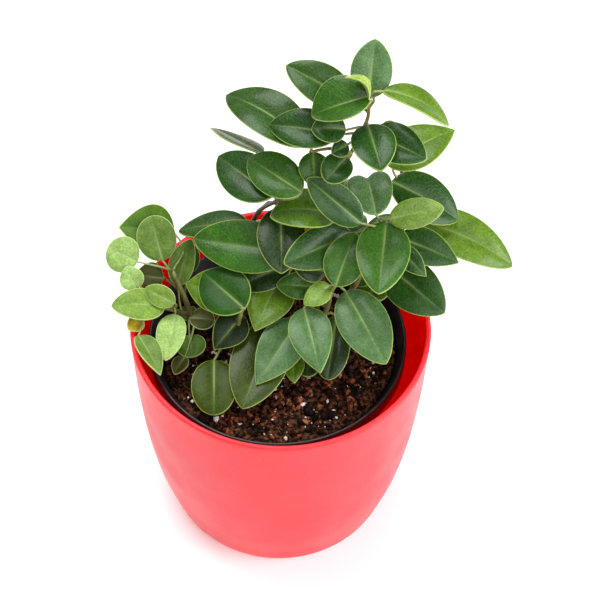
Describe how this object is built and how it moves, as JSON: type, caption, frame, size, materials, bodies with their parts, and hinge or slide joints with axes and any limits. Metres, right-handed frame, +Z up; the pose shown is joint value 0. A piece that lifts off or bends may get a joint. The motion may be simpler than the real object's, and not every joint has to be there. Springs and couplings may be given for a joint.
{
  "type": "potted peperomia",
  "caption": "Bushy houseplant with small, thick, pale-edged oval leaves on short stems, standing in a nursery pot of dark soil inside a smooth tapered coral cachepot.",
  "frame": {"origin": "centre of the outer pot's flat foot, on the plane that it rests on", "axes": "+Z up along the pots' axis, -Y towards the viewer of the picture, +X to the viewer's right"},
  "size_m": [0.1636, 0.1215, 0.2188],
  "materials": {
    "coral_plastic": "smooth, satin gloss",
    "black_plastic": "thin moulded, slight sheen",
    "potting_soil": "loose crumbs of peat and coir with white grains",
    "tall_foliage": "fleshy, glossy, pale margin",
    "right_foliage": "fleshy, glossy, pale margin",
    "back_foliage": "fleshy, glossy, pale margin",
    "front_foliage": "fleshy, satin, pale margin",
    "left_foliage": "fleshy, satin, pale margin",
    "plantlet_foliage": "fleshy, matt, light green"
  },
  "bodies": {
    "root": {"outer_pot": "coral_plastic", "nursery_pot": "black_plastic", "soil": "potting_soil", "stem_tall": "tall_foliage", "stem_right": "right_foliage", "stem_back": "back_foliage", "stem_front": "front_foliage", "stem_left": "left_foliage", "plantlet": "plantlet_foliage"}
  },
  "joints": []
}
